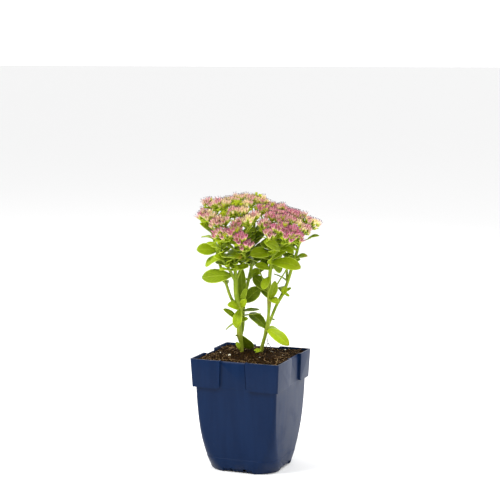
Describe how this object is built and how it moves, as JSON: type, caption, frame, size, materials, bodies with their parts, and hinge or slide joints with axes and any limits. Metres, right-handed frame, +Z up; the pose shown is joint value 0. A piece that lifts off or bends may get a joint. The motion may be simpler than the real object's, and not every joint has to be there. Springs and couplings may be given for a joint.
{
  "type": "potted showy stonecrop",
  "caption": "Flowering stonecrop with leafy upright stems and flat pink flower heads, growing in a square tapered nursery pot with a straight rim band.",
  "frame": {"origin": "centre of the pot's base, on the surface it stands on", "axes": "+Z up, the pot's four sides facing along X and Y"},
  "size_m": [0.1113, 0.0938, 0.2668],
  "materials": {
    "pot": "satin moulded navy blue plastic",
    "soil": "loose dark potting mix of bark, coir and perlite",
    "leaf": "fleshy yellow-green leaves and stems",
    "flower": "soft mauve-pink starry flowers"
  },
  "bodies": {
    "root": {"pot": "pot", "soil": "soil", "stem_left": "leaf", "stem_right": "leaf", "head_far_left": "flower", "head_left": "flower", "head_middle": "flower", "head_top": "flower", "head_back": "flower", "head_inner_right": "flower", "head_right": "flower", "head_far_right": "flower", "head_rear_right": "flower"}
  },
  "joints": []
}
